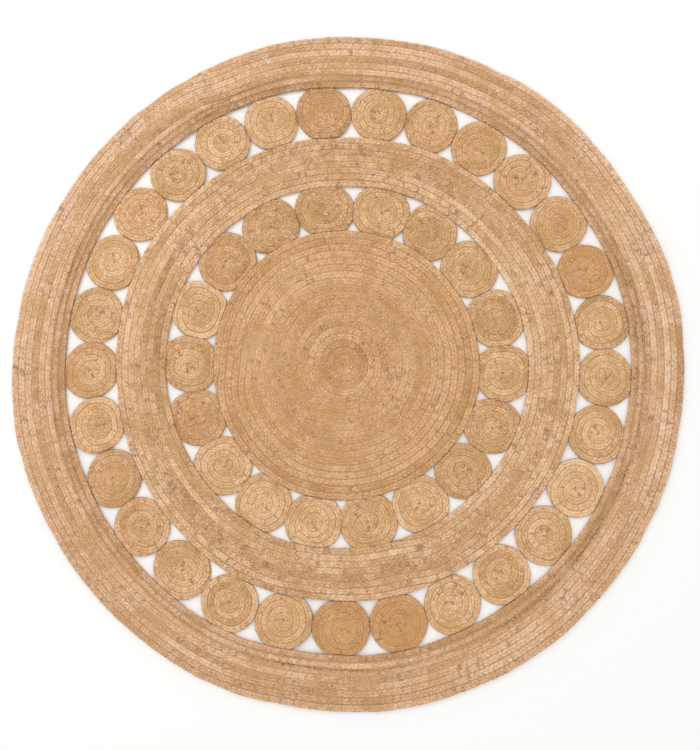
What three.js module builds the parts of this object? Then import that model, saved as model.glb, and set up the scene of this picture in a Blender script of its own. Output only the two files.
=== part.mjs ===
// Round openwork area rug of coiled jute plait, in millimetres, +Z up.
// The origin is on the floor, under the centre of the rug.
//
// A long plait is wound flat into every piece: one centre disc, two rings of small medallions
// and two broad bands. Each medallion is wound a little too big for its place and pressed
// flat against its two neighbours and the pieces inside and outside it, where it is sewn on.
// The three-cornered gaps between them stay open.
import * as THREE from 'three';

// Overall size, and the sizes that are set by themselves
const rugDiameter = 1500;
const outerBandWidth = 119;
const middleBandWidth = 114;
const outerMedallionCount = 29;
const innerMedallionCount = 18;
const bandThickness = 10;
const discThickness = 10;
const medallionThickness = 9;
const plaitEdge = 3; // how far the side of a plait draws in at floor and top
const sewingGap = 0.3; // clearance between pieces that are sewn edge to edge

// How a ring's medallions are pressed: swell is their wound radius as a share of half the
// distance between neighbours, and press is how far each one is pushed in where it meets
// the piece outside the ring, and as far again at the piece inside it
const outerSwell = 1.02;
const outerPress = 6.5;
const innerSwell = 1.055;
const innerPress = 12.5;

// Where the first medallion of each ring lies, in degrees from +X; the rest follow clockwise
const outerRingStart = 95;
const innerRingStart = 98.2;

// How finely round shapes are faceted
const bandFacets = 120;
const discFacets = 96;
const medallionFacets = 36;

// A ring of pressed medallions inside a circle of radius outerRadius. Half the distance
// between neighbours is s * centreRadius, so radius = swell * s * centreRadius, and the
// unpressed circle would reach press beyond outerRadius and beyond innerRadius.
function medallionRing(outerRadius, count, swell, press) {
  const s = Math.sin(Math.PI / count);
  const centreRadius = (outerRadius + press) / (1 + swell * s);
  const radius = swell * s * centreRadius;
  return { count, radius, centreRadius, outerRadius, innerRadius: centreRadius - radius + press };
}

// From the outside in, each piece takes its size from the one around it
const rugRadius = rugDiameter / 2;
const outerRing = medallionRing(
  rugRadius - outerBandWidth, outerMedallionCount, outerSwell, outerPress);
const middleBandRadius = outerRing.innerRadius;
const innerRing = medallionRing(
  middleBandRadius - middleBandWidth, innerMedallionCount, innerSwell, innerPress);
const discRadius = innerRing.innerRadius;

// The side of a coil, from floor to top, drawn in by plaitEdge at both ends: towards the
// axis at an outer edge (side = 1) and away from it at an inner one (side = -1)
function coilSide(radius, thickness, side) {
  const drawnIn = radius - side * plaitEdge;
  return [
    new THREE.Vector2(drawnIn, 0),
    new THREE.Vector2(radius, plaitEdge),
    new THREE.Vector2(radius, thickness - plaitEdge),
    new THREE.Vector2(drawnIn, thickness),
  ];
}

// A closed profile turned round the Z axis
function turned(profile, facets) {
  const geometry = new THREE.LatheGeometry(profile, facets);
  geometry.rotateX(Math.PI / 2);
  return geometry;
}

function coiledDisc(radius, thickness) {
  const axisBottom = new THREE.Vector2(0, 0);
  const axisTop = new THREE.Vector2(0, thickness);
  return turned([axisBottom, ...coilSide(radius, thickness, 1), axisTop], discFacets);
}

// The flats of a faceted hole lie inside its corners, so the hole's radius is measured
// to the flats and what lies in it stays clear
function coiledBand(outerRadius, innerRadius, thickness) {
  const cornerRadius = innerRadius / Math.cos(Math.PI / bandFacets);
  const outside = coilSide(outerRadius, thickness, 1);
  const inside = coilSide(cornerRadius, thickness, -1).reverse();
  return turned([...outside, ...inside, outside[0].clone()], bandFacets);
}

// How far a medallion reaches from its own centre at an angle from the rug's radius: its
// wound radius, or less where it is pressed against the neighbour on that side, whose
// near face is the plane midway between them, or against the piece outside or inside
function medallionReach(ring, angle) {
  const { centreRadius, radius, outerRadius, innerRadius, count } = ring;
  const along = -centreRadius * Math.cos(angle);
  const aside = centreRadius * Math.sin(angle);
  const halfStep = Math.PI / count;
  const toPlane = centreRadius * Math.sin(halfStep) - sewingGap / 2;
  const towardsPlane = Math.sin(Math.abs(angle) - halfStep);
  const reaches = [radius, along + Math.sqrt((outerRadius - sewingGap) ** 2 - aside ** 2)];
  if (towardsPlane > 0) reaches.push(toPlane / towardsPlane);
  const underRoot = (innerRadius + sewingGap) ** 2 - aside ** 2;
  if (along > 0 && underRoot > 0) reaches.push(along - Math.sqrt(underRoot));
  return Math.min(...reaches);
}

// A medallion's pressed outline, made thick, with plaitEdge drawn in at floor and top
function coiledMedallion(ring) {
  const outline = [];
  for (let i = 0; i < medallionFacets; i++) {
    const angle = (2 * Math.PI * (i + 0.5)) / medallionFacets - Math.PI;
    const reach = medallionReach(ring, angle);
    outline.push(new THREE.Vector2(reach * Math.cos(angle), reach * Math.sin(angle)));
  }
  const geometry = new THREE.ExtrudeGeometry(new THREE.Shape(outline), {
    depth: medallionThickness - 2 * plaitEdge,
    bevelThickness: plaitEdge,
    bevelSize: plaitEdge,
    bevelOffset: -plaitEdge,
    bevelSegments: 1,
  });
  geometry.translate(0, 0, plaitEdge);
  return geometry;
}

function piece(name, geometry, colour) {
  const jute = new THREE.MeshStandardMaterial({ color: colour, roughness: 0.9, metalness: 0 });
  const mesh = new THREE.Mesh(geometry, jute);
  mesh.name = name;
  return mesh;
}

// Every medallion is its own piece, turned so that its own X axis points out from the centre
function addMedallions(group, prefix, ring, startDegrees, colour) {
  for (let i = 0; i < ring.count; i++) {
    const angle = THREE.MathUtils.degToRad(startDegrees - (360 * i) / ring.count);
    const number = String(i + 1).padStart(2, '0');
    const medallion = piece(`${prefix}_${number}`, coiledMedallion(ring), colour);
    medallion.position.x = ring.centreRadius * Math.cos(angle);
    medallion.position.y = ring.centreRadius * Math.sin(angle);
    medallion.rotation.z = angle;
    group.add(medallion);
  }
}

function areaRug() {
  const rug = new THREE.Group();
  const outerBand = coiledBand(rugRadius, rugRadius - outerBandWidth, bandThickness);
  const middleBand = coiledBand(
    middleBandRadius, middleBandRadius - middleBandWidth, bandThickness);
  rug.add(piece('outer_band', outerBand, 0xc4a27c));
  addMedallions(rug, 'outer_medallion', outerRing, outerRingStart, 0xc69b66);
  rug.add(piece('middle_band', middleBand, 0xbf9b74));
  addMedallions(rug, 'inner_medallion', innerRing, innerRingStart, 0xc2965f);
  rug.add(piece('centre_disc', coiledDisc(discRadius, discThickness), 0xc59a68));
  return rug;
}

const group = areaRug();
export default group;
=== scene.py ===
# Round openwork rug: every coil is wound flat from a jute plait of three strands, and the
# coils are sewn together where they touch.
import math
import bpy
import numpy as np
from mathutils import Matrix, Vector


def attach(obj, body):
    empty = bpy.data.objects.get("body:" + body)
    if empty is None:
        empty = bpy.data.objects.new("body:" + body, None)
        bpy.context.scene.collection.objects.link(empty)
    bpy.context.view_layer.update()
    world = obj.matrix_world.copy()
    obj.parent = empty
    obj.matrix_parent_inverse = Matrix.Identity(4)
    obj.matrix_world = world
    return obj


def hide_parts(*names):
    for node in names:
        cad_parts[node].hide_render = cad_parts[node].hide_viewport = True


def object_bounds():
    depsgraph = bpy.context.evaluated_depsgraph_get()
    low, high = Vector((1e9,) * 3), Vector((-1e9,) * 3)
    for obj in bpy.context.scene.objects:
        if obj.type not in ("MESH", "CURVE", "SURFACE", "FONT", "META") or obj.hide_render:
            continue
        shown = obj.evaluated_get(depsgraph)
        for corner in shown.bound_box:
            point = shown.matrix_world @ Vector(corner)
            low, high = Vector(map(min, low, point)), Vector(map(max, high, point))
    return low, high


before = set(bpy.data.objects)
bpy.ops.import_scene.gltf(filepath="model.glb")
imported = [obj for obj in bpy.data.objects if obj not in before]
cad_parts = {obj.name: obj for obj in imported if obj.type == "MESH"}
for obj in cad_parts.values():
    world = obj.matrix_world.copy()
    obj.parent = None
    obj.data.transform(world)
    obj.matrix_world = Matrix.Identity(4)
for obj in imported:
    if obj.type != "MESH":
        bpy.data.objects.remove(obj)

cadLow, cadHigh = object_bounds()
rugRadius = (cadHigh[0] - cadLow[0]) / 2
tau = 2 * math.pi


# Numbers along a line

def eased(t):
    # 0 to 1 with no corner at either end: 3t^2 - 2t^3
    t = np.clip(t, 0, 1)
    return t * t * (3 - 2 * t)


def wander(s, spacing, rng):
    # one random value every spacing metres along s, each eased into the next
    knots = rng.normal(size=int(s[-1] / spacing) + 3)
    at = s / spacing
    i = at.astype(int)
    f = eased(at - i)
    return knots[i] * (1 - f) + knots[i + 1] * f


def unit(v):
    # each vector over its own length
    return v / np.linalg.norm(v, axis=-1, keepdims=True)


# How the rug lies

lie = dict(
    slip=0.0095, slipMiddle=0.462, slipWave=0.444, crowd=0.0045, threeSided=0.0024, longer=0.004,
    waves=8, sideways=0.0007, lift=0.0005, shortest=0.25, longest=0.7, seed=4,
)


def lieOf(points):
    # a hand-made rug isn't quite true, and all its pieces give way alike, so that they still
    # meet: the outer ring has slipped round a little one way and the inner ring the other,
    # both crowd a little to one side and are a little three-sided, the whole is slightly
    # longer one way than the other, and a few long waves, each of a random direction, push
    # every point a little sideways and up
    x, y = points[:, 0], points[:, 1]
    r, angle = np.hypot(x, y), np.arctan2(y, x)
    free = (1 - (r / rugRadius) ** 8) * eased(r / 0.3)  # the rim and the middle hold still
    slip = lie["slip"] * np.cos(angle) * np.sin(tau * (r - lie["slipMiddle"]) / lie["slipWave"])
    slip = (slip - lie["crowd"] * np.sin(angle)) * free
    r = r + lie["threeSided"] * np.cos(3 * angle) * free
    angle = angle + slip / np.maximum(r, 0.1)
    dx, dy, dz = (np.zeros_like(x) for _ in range(3))
    rng = np.random.default_rng(lie["seed"])
    for _ in range(lie["waves"]):
        heading, phaseX, phaseY, phaseZ = rng.uniform(0, tau, 4)
        k = tau / rng.uniform(lie["shortest"], lie["longest"])
        along = k * (x * math.cos(heading) + y * math.sin(heading))
        dx += lie["sideways"] * np.sin(along + phaseX)
        dy += lie["sideways"] * np.sin(along + phaseY)
        dz += lie["lift"] * np.sin(along + phaseZ)
    z = points[:, 2] + np.maximum(dz, 0)
    x = r * np.cos(angle) * (1 - lie["longer"]) + dx
    y = r * np.sin(angle) * (1 + lie["longer"]) + dy
    return np.stack([x, y, z], 1)


# Meshes

def quadMesh(name, verts, quads, strandUv=None, values=None):
    # verts (n, 3) in metres and quads (m, 4) facing out; strandUv (m, 4, 2) is metres along
    # the strand and turns round it; values holds one number per vertex under each name
    order = np.argsort(verts[quads, 2].mean(1), kind="stable")  # the lowest first
    quads = quads[order]
    mesh = bpy.data.meshes.new(name)
    mesh.from_pydata(verts, [], quads)
    if strandUv is not None:
        layer = mesh.uv_layers.new(name="strand")
        layer.uv.foreach_set("vector", strandUv[order].astype(np.float32).ravel())
        layFlat(mesh, verts, quads)
        mesh.uv_layers.active = mesh.uv_layers["strand"]
    for label, numbers in (values or {}).items():
        attribute = mesh.attributes.new(label, "FLOAT", "POINT")
        attribute.data.foreach_set("value", numbers.astype(np.float32).ravel())
    mesh.shade_smooth()
    mesh.update()
    piece = bpy.data.objects.new(name, mesh)
    bpy.context.scene.collection.objects.link(piece)
    return piece


def layFlat(mesh, verts, quads):
    # a second map, seen from above and filling the square; faces that look down go small
    # into its corner
    low, high = verts[:, :2].min(0), verts[:, :2].max(0)
    corners = ((verts[:, :2] - low) / max(high - low) * 0.996 + 0.002)[quads]
    a, b, c = (verts[quads[:, i]] for i in range(3))
    down = np.cross(b - a, c - a)[:, 2] < 0
    corners[down] = 0.003 + corners[down] * 0.14
    layer = mesh.uv_layers.new(name="OFBake")
    layer.uv.foreach_set("vector", corners.astype(np.float32).ravel())


def place(piece, slot, material, nodes=()):
    piece.data.materials.append(material)
    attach(piece, "root")
    if nodes:
        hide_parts(*nodes)
    return piece


def joined(parts):
    # several (verts, quads, uv, values) put together as one
    count, verts, quads, uv, values = 0, [], [], [], {}
    for part in parts:
        verts.append(part[0])
        quads.append(part[1] + count)
        uv.append(part[2])
        count += len(part[0])
        for label, numbers in part[3].items():
            values.setdefault(label, []).append(numbers)
    values = {label: np.concatenate(numbers) for label, numbers in values.items()}
    return np.concatenate(verts), np.concatenate(quads), np.concatenate(uv), values


# Coils of plait

def coilLine(coil):
    # a plait wound flat, by t in turns: stair is the number of plaits it has moved out. It
    # keeps to its circle for most of each turn and steps out one plait, eased, over the last
    # jog of it; a coil that starts in the middle moves out all through its first turn. The
    # plait's edges are at stair + lead and stair + lead + 1 plaits from the inner edge, and
    # never outside the coil, so its first end widens and its last end narrows to nothing.
    # Returns angle, radius, width as a share of a plait and t
    jog, lanes = coil["jog"], coil["lanes"]
    t = np.linspace(0 if coil["fromMiddle"] else -jog, math.ceil(lanes), int(lanes * 720) + 1)
    whole = np.floor(t)
    stair = whole + eased((t - whole - 1 + jog) / jog)
    lead = 0
    if coil["fromMiddle"]:
        stair = np.where(t < 1, t, stair)
        lead = -0.5
    inner = np.clip(stair + lead, 0, lanes)
    outer = np.clip(stair + lead + 1, 0, lanes)
    radius = coil["inner"] + coil["pitch"] * (inner + outer) / 2
    return coil["start"] + tau * t, radius, outer - inner, t


def evenly(step, angle, radius, *others):
    # the same line at even steps of length; the last of what it returns is that length
    x, y = radius * np.cos(angle), radius * np.sin(angle)
    s = np.concatenate([[0], np.cumsum(np.hypot(np.diff(x), np.diff(y)))])
    even = np.linspace(0, s[-1], int(s[-1] / step))
    return [np.interp(even, s, v) for v in (x, y, *others)] + [even]


# how far a plait made by hand strays, and over how many metres
uneven = dict(
    phase=(0.5, 0.11), loose=(0.03, 0.06), lean=(0.0006, 0.045), lift=(0.0003, 0.05),
    lumps=(0.06, 0.024), knots=(0.025, 0.009), turn=(0.12, 0.035), batch=(0.15, 0.2),
    warm=(0.2, 0.33),
)
toneOver = dict(longTone=0.26, shortTone=0.04, strandTone=0.12)  # metres


def strays(s, name, rng):
    amount, spacing = uneven[name]
    return amount * wander(s, spacing, rng)


def flattened(phase):
    # a sine with flatter tops, still 1 high: (sin p + 0.16 sin 3p) / 0.84
    return (np.sin(phase) + 0.16 * np.sin(3 * phase)) / 0.84


def plaitStrands(x, y, width, snug, s, plait, rng):
    # the three strands of a plait along a line on the floor. A strand swings from side to
    # side as sin(phase), flattened by a little of sin(3 phase) so that it keeps to the
    # plait's edge for a while, and up and down as sin(2 phase), a third of a period behind
    # the one before, so each passes over one neighbour and under the other. Its section is
    # a wide ellipse. Returns each strand's grid of points, (steps, sides, 3), and how far
    # aside of the line each point is, in plaits
    along = unit(np.stack([np.gradient(x), np.gradient(y), np.zeros_like(x)], 1))
    across = np.stack([-along[:, 1], along[:, 0], along[:, 2]], 1)
    low = 0.5 + 0.5 * eased(width * 1.5)
    middle = np.stack([x, y, plait["height"] / 2 * low], 1)
    phase = tau * s / plait["period"] + strays(s, "phase", rng)
    loose = 1 + strays(s, "loose", rng)
    lean = strays(s, "lean", rng)
    line = middle.copy()
    middle += across * lean[:, None]
    middle[:, 2] += strays(s, "lift", rng)
    grids = []
    for k in range(3):
        lumps = 1 + strays(s, "lumps", rng) + strays(s, "knots", rng)
        turn = phase + tau * k / 3 + strays(s, "turn", rng)
        swing = plait["swing"] * width * snug * loose * flattened(turn)
        rise = plait["rise"] * low * np.sin(2 * turn)
        centre = middle + across * swing[:, None]
        centre[:, 2] += rise
        ahead = unit(np.gradient(centre, axis=0))
        side = unit(np.cross((0, 0, 1), ahead))
        up = np.cross(ahead, side)
        around = tau * np.arange(plait["sides"]) / plait["sides"]
        wide = (plait["halfWidth"] * width * snug * lumps + 0.0002)[:, None, None]
        thick = (plait["halfThickness"] * low * lumps)[:, None, None]
        grid = (
            centre[:, None]
            + wide * np.cos(around)[None, :, None] * side[:, None]
            + thick * np.sin(around)[None, :, None] * up[:, None]
        )
        grid[:, :, 2] = np.maximum(grid[:, :, 2], 0.0001)
        aside = ((grid - line[:, None]) * across[:, None]).sum(2) / plait["pitch"]
        grids.append((grid, aside))
    return grids


def strandSurface(grid, aside, s, tone, warm, plait):
    # one strand as faces: rows run along it and columns round it, and two quads close each
    # end of its six sides
    rows, sides = grid.shape[:2]
    i = np.arange(rows - 1)[:, None] * sides
    j = np.arange(sides)[None, :]
    after = (j + 1) % sides
    body = np.stack([i + j, i + after, i + after + sides, i + j + sides], 2).reshape(-1, 4)
    first = np.array([[0, 3, 2, 1], [0, 5, 4, 3]])
    last = (rows - 1) * sides + first[:, ::-1]
    v = np.arange(sides + 1) / sides + plait["twist"] * s[:, None]
    uv = np.stack([np.broadcast_to(s[:, None], v.shape), v], 2)
    bodyUv = np.stack([uv[:-1, :-1], uv[:-1, 1:], uv[1:, 1:], uv[1:, :-1]], 2)
    endUv = np.repeat(np.stack([uv[0, 0], uv[-1, 0]]), 8, 0)
    values = dict(
        tone=np.repeat(tone, sides),
        warm=np.repeat(warm, sides),
        depth=np.clip(grid[:, :, 2] / plait["height"], 0, 1.2).ravel(),
        aside=aside.ravel(),
    )
    faceUv = np.concatenate([bodyUv.reshape(-1, 4, 2), endUv.reshape(-1, 4, 2)])
    return grid.reshape(-1, 3), np.concatenate([body, first, last]), faceUv, values


def plaitOf(coil):
    # a plait's measures, as shares of its width, which is the coil's pitch, and its height
    pitch, height = coil["pitch"], coil["height"]
    return dict(
        pitch=pitch, height=height, period=pitch * coil["stretch"], swing=pitch * 0.25,
        rise=height * 0.115, halfWidth=pitch * 0.285, halfThickness=height * 0.37,
        sides=6, twist=8.0, steps=10,
    )


def perTurn(t, spread, rng, jog):
    # one random value for each turn, eased into the next where the plait steps out
    values = rng.normal(size=int(t[-1]) + 4) * spread
    at = t - t[0]
    i = np.floor(at).astype(int)
    f = eased((at - i - 1 + jog) / jog)
    return values[i] * (1 - f) + values[i + 1] * f


def windCoil(coil, rng):
    # a coil's three strands, each as (verts, quads, uv, values) round the origin
    plait = plaitOf(coil)
    angle, radius, width, t = coilLine(coil)
    x, y, width, t, s = evenly(plait["period"] / plait["steps"], angle, radius, width, t)
    # the turns nearest a band's inner edge are drawn tighter, with deeper grooves between
    lane = (np.hypot(x, y) - coil["inner"]) / coil["pitch"]
    snug = 1 - coil["grooved"] * (1 - eased((lane - 1) / 3)) + perTurn(t, 0.015, rng, coil["jog"])
    grids = plaitStrands(x, y, width, snug, s, plait, rng)
    byTurn = perTurn(t, coil["turnTone"], rng, coil["jog"])
    # a dark batch went into a band's first turns, and it is darkest to the right
    batch = 0.9 + 0.1 * np.cos(np.arctan2(y, x) + 0.3) + strays(s, "batch", rng)
    batch = np.repeat(batch, plait["sides"])
    common = coil["tone"] + byTurn + coil["longTone"] * wander(s, toneOver["longTone"], rng)
    common = common + coil["shortTone"] * wander(s, toneOver["shortTone"], rng)
    strands = []
    for grid, aside in grids:
        tone = common + coil["strandTone"] * wander(s, toneOver["strandTone"], rng)
        warm = coil["warm"] + strays(s, "warm", rng)
        strand = strandSurface(grid, aside, s, tone, warm, plait)
        # a line of painted shade runs in the deeper seam between the second and third turn, and a
        # thinner one between the first and second, both stronger where that batch is darker
        at = (np.hypot(*strand[0][:, :2].T) - coil["inner"]) / coil["pitch"]
        strand[3]["tone"] += coil["edgeTone"] * batch * (1 - eased((at - 1.2) / 0.4))
        seamShadeLines = np.exp(-((at - 1.95) / 0.26) ** 2) + 0.6 * np.exp(-((at - 0.97) / 0.2) ** 2)
        strand[3]["tone"] += coil["lineTone"] * batch * seamShadeLines
        strands.append(strand)
    return strands, s[-1]


# Jute

def addNode(tree, kind, settings=None, **inputs):
    # inputs go by name, or by number as i0, i1 and so on; each is a value or a socket
    node = tree.nodes.new(kind)
    for key, value in (settings or {}).items():
        setattr(node, key, value)
    for key, value in inputs.items():
        socket = node.inputs[int(key[1:])] if key[1:].isdigit() else node.inputs[key]
        if isinstance(value, bpy.types.NodeSocket):
            tree.links.new(value, socket)
        else:
            socket.default_value = value
    return node


def maths(tree, operation, a, b=0.0, c=0.0, clamp=False):
    settings = dict(operation=operation, use_clamp=clamp)
    return addNode(tree, "ShaderNodeMath", settings, i0=a, i1=b, i2=c).outputs[0]


def mixed(tree, share, a, b):
    # colour a, or colour b by share
    node = addNode(tree, "ShaderNodeMix", dict(data_type="RGBA"), i0=share)
    for socket, colour in ((node.inputs[6], a), (node.inputs[7], b)):
        if isinstance(colour, bpy.types.NodeSocket):
            tree.links.new(colour, socket)
        else:
            socket.default_value = (*colour, 1)
    return node.outputs[2]


def strandNoise(tree, u, v, along, around, detail, seed):
    # noise on the strand's own map, stretched along it: along patches per metre and around
    # patches for one turn round it. Returned about zero
    at = addNode(
        tree, "ShaderNodeCombineXYZ",
        X=maths(tree, "MULTIPLY", u, along), Y=maths(tree, "MULTIPLY", v, around), Z=seed,
    )
    noise = addNode(
        tree, "ShaderNodeTexNoise", Vector=at.outputs[0], Scale=1.0, Detail=detail,
        Roughness=0.6,
    )
    return maths(tree, "SUBTRACT", noise.outputs["Fac"], 0.5)


# the groove colour and the seam and valley lines are painted shade in the plait's low parts and
# creases
jute = dict(
    dark=(0.40, 0.215, 0.09), middle=(0.665, 0.395, 0.20), pale=(0.88, 0.63, 0.41),
    orange=(0.60, 0.30, 0.11), bark=(0.20, 0.085, 0.035), groove=(0.42, 0.23, 0.105),
    rosy=(0.70, 0.42, 0.25), olive=(0.60, 0.37, 0.155),
    patch=0.25, batch=1.1, matting=0.55, fuzz=2.5, streak=1.6, fibre=0.9, fleckFrom=0.15,
    fleck=0.65, grooveFrom=0.66, grooveShare=0.12, seam=0.75, seamWidth=0.12, valley=0.6,
    valleyWidth=0.1, seed=1.0,
)


def juteMaterial(name, look):
    # a ramp from bark through dark and middle to pale, read where the strand's own tone and
    # several noises add up to; tints and flecks of bark are laid over it, and then painted shade:
    # thin lines in the creases and a darkening where the strand lies low
    material = bpy.data.materials.new(name)
    material.use_nodes = True
    tree = material.node_tree
    shader = tree.nodes["Principled BSDF"]
    uv = addNode(tree, "ShaderNodeUVMap", dict(uv_map="strand")).outputs[0]
    split = addNode(tree, "ShaderNodeSeparateXYZ", i0=uv)
    u, v = split.outputs[0], split.outputs[1]
    tone, warm, depth, aside = (
        addNode(tree, "ShaderNodeAttribute", dict(attribute_name=label)).outputs["Fac"]
        for label in ("tone", "warm", "depth", "aside")
    )
    seed = look["seed"]
    patches = strandNoise(tree, u, v, 22, 1.5, 2.0, seed)
    streaks = strandNoise(tree, u, v, 85, 10, 3.0, seed + 7)
    fibres = strandNoise(tree, u, v, 230, 34, 2.0, seed + 13)
    flecks = strandNoise(tree, u, v, 85, 6, 1.0, seed + 21)
    where = addNode(tree, "ShaderNodeTexCoord").outputs["Object"]
    matting, batch, fuzz = (
        maths(tree, "SUBTRACT", addNode(
            tree, "ShaderNodeTexNoise", Vector=where, Scale=scale, Detail=3.0, Roughness=0.6,
        ).outputs["Fac"], 0.5)
        for scale in (62.0, 13.0, 340.0)
    )
    # pale or dark, from the strand's own tone, longer patches, matted fibre and streaks
    shade = maths(tree, "ADD", tone, 0.5)
    for noise, amount in (
        (patches, "patch"), (batch, "batch"), (matting, "matting"), (fuzz, "fuzz"),
        (streaks, "streak"), (fibres, "fibre"),
    ):
        shade = maths(tree, "MULTIPLY_ADD", noise, look[amount], shade)
    shade = maths(tree, "MULTIPLY_ADD", shade, 0.75, 0.25, clamp=True)
    ramp = addNode(tree, "ShaderNodeValToRGB", i0=shade)
    elements = ramp.color_ramp.elements
    elements[0].color = (*look["bark"], 1)
    elements[1].color = (*look["pale"], 1)
    elements.new(0.25).color = (*look["dark"], 1)
    elements.new(0.625).color = (*look["middle"], 1)
    colour = ramp.outputs[0]
    # some batches of fibre are rosy and some are olive
    hue = maths(tree, "MULTIPLY_ADD", patches, 0.5, batch)
    for sign, tint in ((5.0, "rosy"), (-5.0, "olive")):
        share = maths(tree, "MULTIPLY", hue, sign, clamp=True)
        colour = mixed(tree, maths(tree, "MULTIPLY", share, 0.55), colour, look[tint])
    colour = mixed(tree, maths(tree, "MAXIMUM", warm, 0.0, clamp=True), colour, look["orange"])
    spot = maths(tree, "MULTIPLY_ADD", batch, 0.6, flecks)
    spot = maths(tree, "SUBTRACT", spot, look["fleckFrom"])
    spot = maths(tree, "MULTIPLY", spot, 14.0, clamp=True)
    colour = mixed(tree, maths(tree, "MULTIPLY", spot, look["fleck"]), colour, look["bark"])
    # painted shade: thin dark lines, broken here and there, in the seam between turns and
    # down the valley in the middle of the plait, where shade falls in the creases
    away = maths(tree, "ABSOLUTE", aside)
    seam = maths(tree, "ABSOLUTE", maths(tree, "SUBTRACT", away, 0.5))
    seam = maths(tree, "MULTIPLY_ADD", seam, -1 / look["seamWidth"], 1.0, clamp=True)
    valley = maths(tree, "MULTIPLY_ADD", away, -1 / look["valleyWidth"], 1.0, clamp=True)
    seam = maths(tree, "MULTIPLY", seam, look["seam"])
    valley = maths(tree, "MULTIPLY", valley, look["valley"])
    line = maths(tree, "MAXIMUM", seam, valley)
    broken = maths(tree, "MULTIPLY_ADD", patches, 4.0, 0.6, clamp=True)
    colour = mixed(tree, maths(tree, "MULTIPLY", line, broken), colour, look["dark"])
    # painted shade: the strand goes towards the groove colour where it lies low, down between
    # strands and turns
    paintedShade = maths(tree, "SUBTRACT", look["grooveFrom"], depth)
    paintedShade = maths(tree, "MULTIPLY", paintedShade, 2.5, clamp=True)
    paintedShade = maths(tree, "MULTIPLY", paintedShade, look["grooveShare"])
    colour = mixed(tree, paintedShade, colour, look["groove"])
    tree.links.new(colour, shader.inputs["Base Color"])
    relief = maths(tree, "MULTIPLY_ADD", fibres, 0.6, streaks)
    bump = addNode(tree, "ShaderNodeBump", Strength=0.5, Distance=0.0007, Height=relief)
    tree.links.new(bump.outputs[0], shader.inputs["Normal"])
    shader.inputs["Roughness"].default_value = 0.85
    shader.inputs["Specular IOR Level"].default_value = 0.2
    shader.inputs["Sheen Weight"].default_value = 0.1
    return material


# Bands and disc

def meshPoints(node):
    # a CAD node's points, in metres
    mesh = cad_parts[node].data
    points = np.empty(len(mesh.vertices) * 3)
    mesh.vertices.foreach_get("co", points)
    return points.reshape(-1, 3)


def planOf(node):
    # a CAD node's inner and outer radius round the rug's middle, and its height
    points = meshPoints(node)
    radii = np.hypot(points[:, 0], points[:, 1])
    return radii.min(), radii.max(), points[:, 2].max()


drawnIn = 0.035  # a share of a plait
# what most coils share: no deeper grooves, no dark batch, no painted seam shade, and how far tones
# vary
plain = dict(grooved=0.0, edgeTone=0.0, lineTone=0.0, strandTone=0.03, shortTone=0.04)


def coilOf(node, turns, **look):
    # a band is wound from its inner edge, a disc from its middle. Strands bulge past the
    # edge of their lane, so the coil is drawn in by a small share of a plait
    inner, outer, height = planOf(node)
    fromMiddle = inner < 0.001
    lanes = turns - 0.5 if fromMiddle else turns
    pitch = (outer - inner) / (lanes + drawnIn * (1 if fromMiddle else 2))
    inner = 0 if fromMiddle else inner + drawnIn * pitch
    return dict(inner=inner, pitch=pitch, lanes=lanes, height=height, fromMiddle=fromMiddle, **look)


rosierJute = dict(
    jute, middle=(0.665, 0.40, 0.222), pale=(0.89, 0.645, 0.445),
    rosy=(0.71, 0.445, 0.305), olive=(0.63, 0.38, 0.19), fleckFrom=0.135,
)
bandJute = juteMaterial("bandJute", dict(rosierJute, seam=0.5, valley=0.38, fuzz=2.2))
middleJute = juteMaterial("middleJute", dict(
    rosierJute, seed=1.5, middle=(0.655, 0.392, 0.205), pale=(0.88, 0.632, 0.412),
    rosy=(0.70, 0.437, 0.282), olive=(0.62, 0.372, 0.176), seam=0.28, valley=0.22,
    matting=0.8, fuzz=2.4,
))
coilJute = dict(jute, middle=(0.665, 0.39, 0.188), pale=(0.88, 0.622, 0.385))
discJute = juteMaterial("discJute", dict(
    coilJute, seed=2.0, middle=(0.64, 0.362, 0.169), pale=(0.847, 0.577, 0.345),
    rosy=(0.674, 0.389, 0.224), olive=(0.578, 0.343, 0.139), seam=0.45, valley=0.35, fuzz=2.6,
))
medallionJute = juteMaterial("medallionJute", dict(coilJute, seed=3.0))

outerBand = coilOf(
    "outer_band", 8, start=math.radians(122), jog=0.028, stretch=2.35, tone=0.08,
    warm=0.0, turnTone=0.07, longTone=0.14,
    **dict(plain, grooved=0.10, edgeTone=-0.26, lineTone=-0.75),
)
middleBand = coilOf(
    "middle_band", 8, start=math.radians(296), jog=0.035, stretch=2.4, tone=-0.01,
    warm=-0.1, turnTone=0.05, longTone=0.14, **plain,
)
centreDisc = coilOf(
    "centre_disc", 20, start=math.radians(200), jog=0.07, stretch=2.15, tone=-0.05,
    warm=0.0, turnTone=0.07, longTone=0.07, **plain,
)


def windWhole(node, coil, material, slot, seed):
    # a whole band or disc, each of the plait's strands a piece of its own
    strands, length = windCoil(coil, np.random.default_rng(seed))
    for k, (verts, quads, uv, values) in enumerate(strands):
        piece = quadMesh(f"{node}_strand_{k + 1}", lieOf(verts), quads, uv, values)
        place(piece, slot, material, [node])
    print(node, "plait", round(float(length), 1), "m,", sum(len(p[1]) for p in strands), "faces")


windWhole("outer_band", outerBand, bandJute, "band_jute", 11)
windWhole("middle_band", middleBand, middleJute, "band_jute", 12)
windWhole("centre_disc", centreDisc, discJute, "disc_jute", 13)


# Medallions

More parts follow.
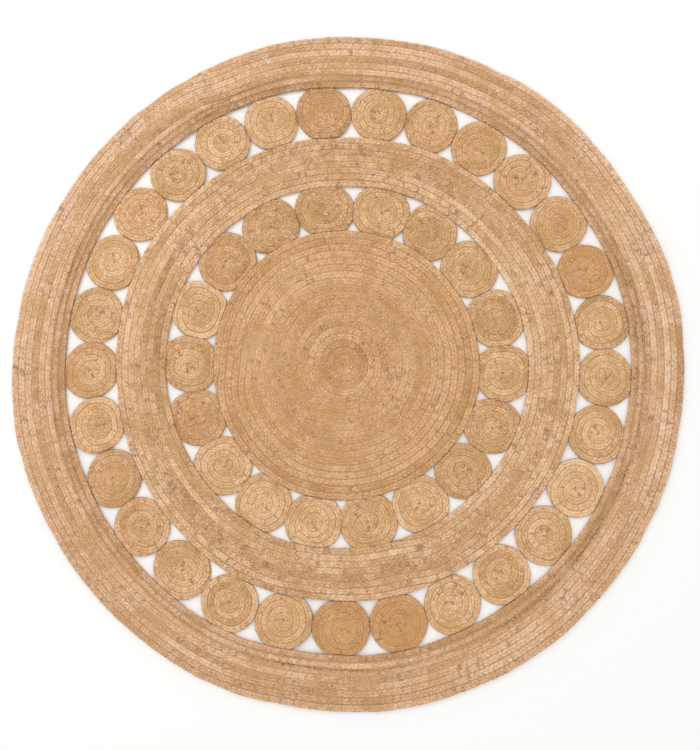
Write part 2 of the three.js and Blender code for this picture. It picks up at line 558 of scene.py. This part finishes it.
medallion = dict(
    turns=5, jog=0.3, stretch=2.0, bulge=0.0009, tone=0.02, outerTone=0.045,
    toneSpread=0.065, warmSpread=0.2, darker=-0.15, paler=0.15, orange=0.5,
    turnTone=0.1, longTone=0.05, strandTone=0.03, shortTone=0.05, busyFrom=0.6, busyTo=1.5,
    dark=("outer_01", "outer_02", "outer_03", "outer_15", "outer_24", "inner_01", "inner_02",
          "inner_03", "inner_14", "inner_18"),
    pale=("outer_08", "outer_11", "outer_14", "outer_25", "outer_26", "inner_09", "inner_10",
          "inner_11", "inner_12"),
    orangeOne="outer_15",
)


def outlineOf(node):
    # the middle of a pressed medallion and how far it reaches from there, by angle
    points = meshPoints(node)
    z = points[:, 2]
    edge = points[(z > z.min() + 0.001) & (z < z.max() - 0.001), :2]
    middle = edge.mean(0)
    away = edge - middle
    angle = np.arctan2(away[:, 1], away[:, 0])
    order = np.argsort(angle)
    return middle, angle[order], np.hypot(*away[order].T), z.max()


def pressed(points, middle, angles, reach, radius):
    # a round coil pressed to its outline and moved to its place: a point at distance d from
    # the middle moves in by (1 - reach / radius) (d / radius)^2.5 of d
    d, angle = np.hypot(points[:, 0], points[:, 1]), np.arctan2(points[:, 1], points[:, 0])
    share = 1 - (1 - np.interp(angle, angles, reach, period=tau) / radius) * (d / radius) ** 2.5
    return np.column_stack([points[:, :2] * share[:, None] + middle, points[:, 2]])


def windMedallion(node, seed):
    rng = np.random.default_rng(seed)
    middle, angles, reach, height = outlineOf(node)
    radius = reach.max()
    # where it is pressed by a neighbour it bulges back into the gap that the solids leave
    reach = reach + medallion["bulge"] * eased((radius - reach) / 0.0025)
    tone, warm = rng.normal(size=2) * (medallion["toneSpread"], medallion["warmSpread"])
    short = node.replace("medallion_", "")
    tone += medallion["tone"] + medallion["darker"] * (short in medallion["dark"])
    tone += medallion["paler"] * (short in medallion["pale"])
    tone += medallion["outerTone"] * short.startswith("outer")
    warm += medallion["orange"] * (short == medallion["orangeOne"])
    pitch = radius / (medallion["turns"] - 0.5 + drawnIn)
    busy = rng.uniform(medallion["busyFrom"], medallion["busyTo"])
    coil = dict(
        plain, inner=0, pitch=pitch, lanes=medallion["turns"] - 0.5, height=height,
        fromMiddle=True, start=rng.uniform(0, tau), jog=medallion["jog"],
        stretch=medallion["stretch"], tone=tone, warm=warm, turnTone=medallion["turnTone"],
    )
    for label in ("longTone", "strandTone", "shortTone"):
        coil[label] = medallion[label] * busy  # some are busier than others
    strands, length = windCoil(coil, rng)
    verts, quads, uv, values = joined(strands)
    verts = lieOf(pressed(verts, middle, angles, reach, radius))
    piece = quadMesh(node + "_plait", verts, quads, uv, values)
    return place(piece, "medallion_jute", medallionJute, [node])


medallionNodes = sorted(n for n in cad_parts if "medallion" in n)
for i, node in enumerate(medallionNodes):
    windMedallion(node, 300 + i)
print("medallions", len(medallionNodes))


# Stray fibres and stitches

def thinTubes(line, side, across, tone, rng):
    # four-sided closed tubes, one along each line of points (count, rows, 3); across is
    # half the thickness along side and straight up
    count, rows = line.shape[:2]
    up = across * (0, 0, 1)
    grid = np.stack([line + across * side, line + up, line - across * side, line - up], 2)
    i = np.arange(rows - 1)[:, None] * 4
    j = np.arange(4)[None, :]
    k = (j + 1) % 4
    body = np.stack([i + j, i + k, i + k + 4, i + j + 4], 2).reshape(-1, 4)
    ends = np.array([[0, 3, 2, 1], [0, 1, 2, 3]]) + np.array([[0], [4 * rows - 4]])
    one = np.concatenate([body, ends])
    quads = (one[None] + 4 * rows * np.arange(count)[:, None, None]).reshape(-1, 4)
    tone = np.repeat(tone, rows * 4)
    values = dict(tone=tone, warm=0 * tone, depth=0 * tone + 1, aside=0 * tone + 0.25)
    uv = np.zeros((len(quads), 4, 2)) + rng.uniform(0, 50, len(quads))[:, None, None]
    return grid.reshape(-1, 3), quads, uv, values


stray = dict(
    perArea=5200, short=0.006, long=0.024, halfWidth=0.0002, segments=4, turned=0.55,
    bend=0.35, level=0.93, above=0.0012, below=0.0014, tone=0.1, toneSpread=0.35,
)


def fibrePart(inner, outer, height, rng):
    # loose fibres over a coil round the origin, each a thin four-sided tube that rises out
    # of the plait and dips back: along its length u, from 0 to 1, it runs more or less
    # with the plait, bends aside as u^2 and arches up as sin(pi u)
    count = int(stray["perArea"] * math.pi * (outer ** 2 - inner ** 2))
    r = np.sqrt(rng.uniform(inner ** 2, outer ** 2, count))
    angle = rng.uniform(0, tau, count)
    heading = angle + tau / 4 + rng.normal(size=count) * stray["turned"]
    length = stray["short"] + (stray["long"] - stray["short"]) * rng.uniform(size=count) ** 2
    u = np.linspace(0, 1, stray["segments"] + 1)[None, :]
    far = (u - 0.5) * length[:, None]
    aside = (u - 0.5) ** 2 * (length * rng.normal(size=count) * stray["bend"])[:, None]
    cos, sin = np.cos(heading)[:, None], np.sin(heading)[:, None]
    x = (r * np.cos(angle))[:, None] + far * cos - aside * sin
    y = (r * np.sin(angle))[:, None] + far * sin + aside * cos
    arch = stray["below"] + stray["above"] * rng.uniform(0.3, 1.3, count)
    z = height * stray["level"] - stray["below"] + arch[:, None] * np.sin(math.pi * u)
    side = np.stack([-sin, cos, 0 * sin], 2)
    across = stray["halfWidth"] * (1.1 - np.abs(2 * u - 1))[:, :, None]
    tone = rng.normal(size=count) * stray["toneSpread"] + stray["tone"]
    return thinTubes(np.stack([x, y, z], 2), side, across, tone, rng)


def scatterFibres():
    rng = np.random.default_rng(77)
    bands = joined([fibrePart(*planOf(node), rng) for node in ("outer_band", "middle_band")])
    disc = fibrePart(*planOf("centre_disc"), rng)
    parts = []
    for node in medallionNodes:
        middle, angles, reach, height = outlineOf(node)
        verts, quads, uv, values = fibrePart(0, reach.max() * 0.99, height, rng)
        parts.append((pressed(verts, middle, angles, reach, reach.max()), quads, uv, values))
    for name, part, slot, material in (
        ("band_fibres", bands, "band_jute", bandJute),
        ("disc_fibres", disc, "disc_jute", discJute),
        ("medallion_fibres", joined(parts), "medallion_jute", medallionJute),
    ):
        verts, quads, uv, values = part
        place(quadMesh(name, lieOf(verts), quads, uv, values), slot, material)
        print(name, len(quads), "faces")


scatterFibres()


stitch = dict(
    each=4, apart=0.0042, reach=0.0042, halfWidth=0.0004, segments=6, low=0.0078, arch=0.0021,
    uneven=0.2, slant=0.25, tone=-0.15, toneSpread=0.1,
)


def contacts():
    # where coils are pressed together, as points and the directions across: each medallion
    # meets the next of its ring, and the band or disc on either side of it
    for ring, inside, outside in (
        ("outer", "middle_band", "outer_band"), ("inner", "centre_disc", "middle_band"),
    ):
        middles = np.array([outlineOf(n)[0] for n in medallionNodes if n.startswith(ring)])
        after = np.roll(middles, -1, 0)
        yield (middles + after) / 2, unit(after - middles)
        yield unit(middles) * planOf(inside)[1], unit(middles)
        yield unit(middles) * planOf(outside)[0], unit(middles)


def sewContacts():
    # a few stitches of thread over each contact, side by side, each arched as sin(pi u)
    rng = np.random.default_rng(91)
    points, ways = (np.concatenate(kind) for kind in zip(*contacts()))
    points, ways = np.repeat(points, stitch["each"], 0), np.repeat(ways, stitch["each"], 0)
    sides = np.stack([-ways[:, 1], ways[:, 0]], 1)
    row = np.arange(stitch["each"]) - (stitch["each"] - 1) / 2
    offset = np.tile(row, len(points) // stitch["each"])
    offset = (offset + rng.normal(size=len(points)) * stitch["uneven"]) * stitch["apart"]
    slant = rng.normal(size=(len(points), 1)) * stitch["slant"]
    points = points + sides * offset[:, None]
    ways = unit(ways + sides * slant)
    u = np.linspace(0, 1, stitch["segments"] + 1)[None, :, None]
    flat = points[:, None] + ways[:, None] * (2 * u - 1) * stitch["reach"]
    z = stitch["low"] + stitch["arch"] * np.sin(math.pi * u) + 0 * flat[:, :, :1]
    line = np.concatenate([flat, z], 2)
    side = np.stack([-ways[:, 1], ways[:, 0], 0 * ways[:, 0]], 1)[:, None]
    across = np.full((len(points), 1, 1), stitch["halfWidth"])
    tone = rng.normal(size=len(points)) * stitch["toneSpread"] + stitch["tone"]
    verts, quads, uv, values = thinTubes(line, side, across, tone, rng)
    place(quadMesh("stitches", lieOf(verts), quads, uv, values), "band_jute", bandJute)
    print("stitches", len(points))


sewContacts()


# Sewn web

def webPart(middle, inner, outer, height, facets):
    # a thin closed ring of web: its section is a box from inner to outer, carried round;
    # outer is one radius or one for each facet
    angle = tau * np.arange(facets) / facets
    outer = np.broadcast_to(outer, facets)
    inner = np.broadcast_to(inner, facets)
    r = np.stack([inner, outer, outer, inner], 1)
    low, high = web["low"] * height, web["high"] * height
    z = np.broadcast_to([low, low, high, high], r.shape)
    x = middle[0] + r * np.cos(angle)[:, None]
    y = middle[1] + r * np.sin(angle)[:, None]
    i = np.arange(facets)[:, None] * 4
    after = (i + 4) % (facets * 4)
    j = np.arange(4)[None, :]
    k = (j + 1) % 4
    quads = np.stack([i + j, after + j, after + k, i + k], 2).reshape(-1, 4)
    return np.stack([x, y, z], 2).reshape(-1, 3), quads, np.zeros((len(quads), 4, 2)), {}


# low and high are shares of a coil's height
web = dict(
    low=0.52, high=0.73, inset=0.0042, hole=0.002, facets=180, smallFacets=36,
    dark=(0.42, 0.24, 0.11), pale=(0.70, 0.44, 0.23),
)


def makeWeb():
    # what shows between the turns: the sewing thread and matted fibre that hold them; its
    # darker brown is partly painted shade, standing in for the shade down between the turns
    parts, area = [], 0
    for node in ("outer_band", "middle_band", "centre_disc"):
        inner, outer, height = planOf(node)
        inner = max(inner + web["inset"], web["hole"])
        outer -= web["inset"]
        parts.append(webPart((0, 0), inner, outer, height, web["facets"]))
        area += math.pi * (outer ** 2 - inner ** 2)
    for node in medallionNodes:
        middle, angles, reach, height = outlineOf(node)
        at = tau * np.arange(web["smallFacets"]) / web["smallFacets"]
        outer = np.interp(at, angles, reach, period=tau) - web["inset"]
        parts.append(webPart(middle, web["hole"], outer, height, web["smallFacets"]))
        area += math.pi * float((outer ** 2).mean())
    verts, quads, uv, _ = joined(parts)
    piece = quadMesh("sewn_web", lieOf(verts), quads)
    material = bpy.data.materials.new("webFibre")
    material.use_nodes = True
    tree = material.node_tree
    shader = tree.nodes["Principled BSDF"]
    where = addNode(tree, "ShaderNodeTexCoord").outputs["Object"]
    matted = addNode(tree, "ShaderNodeTexNoise", Vector=where, Scale=350.0, Detail=3.0)
    # matted fibre colour, its darker end partly painted shade in the gaps between turns
    colour = mixed(tree, matted.outputs["Fac"], web["dark"], web["pale"])
    tree.links.new(colour, shader.inputs["Base Color"])
    shader.inputs["Roughness"].default_value = 0.9
    place(piece, "band_jute", material)
    return piece, area


webPiece, webArea = makeWeb()


# Floor, light and camera

floorLook = dict(size=8.0, colour=(0.93, 0.925, 0.91))


def makeFloor():
    size = floorLook["size"]
    verts = np.array([(-size, -size, 0), (size, -size, 0), (size, size, 0), (-size, size, 0)])
    floor = quadMesh("floor", verts, np.array([[0, 1, 2, 3]]))
    material = bpy.data.materials.new("paleFloor")
    material.use_nodes = True
    shader = material.node_tree.nodes["Principled BSDF"]
    shader.inputs["Base Color"].default_value = (*floorLook["colour"], 1)
    shader.inputs["Roughness"].default_value = 0.9
    shader.inputs["Specular IOR Level"].default_value = 0.1
    floor.data.materials.append(material)


light = dict(dome=0.95, power=33, size=2.4, x=-1.6, y=1.9, z=2.8)


def makeLight():
    # an even pale dome and a broad soft lamp from the far left
    world = bpy.data.worlds.new("studio")
    bpy.context.scene.world = world
    world.use_nodes = True
    background = world.node_tree.nodes["Background"]
    background.inputs["Color"].default_value = (1, 1, 1, 1)
    background.inputs["Strength"].default_value = light["dome"]
    lamp = bpy.data.lights.new("softbox", "AREA")
    lamp.shape, lamp.size, lamp.energy = "DISK", light["size"], light["power"]
    softbox = bpy.data.objects.new("softbox", lamp)
    softbox.location = (light["x"], light["y"], light["z"])
    softbox.rotation_euler = (-softbox.location).to_track_quat("-Z", "Y").to_euler()
    bpy.context.scene.collection.objects.link(softbox)


eye = dict(
    distance=1.85, back=0.0771, side=0.029, aimX=0.0114, aimY=-0.0241, share=0.962,
    narrow=700 / 750, sensor=36,
)


def makeCamera():
    # nearly overhead, a little towards the viewer, so the far edge is a little smaller; the
    # rug's width is eye["share"] of the frame's, which is narrow times as wide as it is high
    data = bpy.data.cameras.new("eye")
    camera = bpy.data.objects.new("eye", data)
    bpy.context.scene.collection.objects.link(camera)
    up = math.sqrt(1 - eye["back"] ** 2 - eye["side"] ** 2)
    towards = Vector((eye["side"], -eye["back"], up))
    right = Vector((0, 1, 0)).cross(towards).normalized()
    above = towards.cross(right)
    camera.rotation_euler = Matrix((right, above, towards)).transposed().to_euler()
    camera.location = Vector((eye["aimX"], eye["aimY"], 0)) + towards * eye["distance"]
    data.sensor_width = eye["sensor"]
    across = eye["share"] * eye["narrow"]
    data.lens = eye["sensor"] * eye["distance"] * across / (2 * rugRadius)
    bpy.context.scene.camera = camera


makeFloor()
makeLight()
makeCamera()
bpy.context.scene.view_settings.view_transform = "Standard"
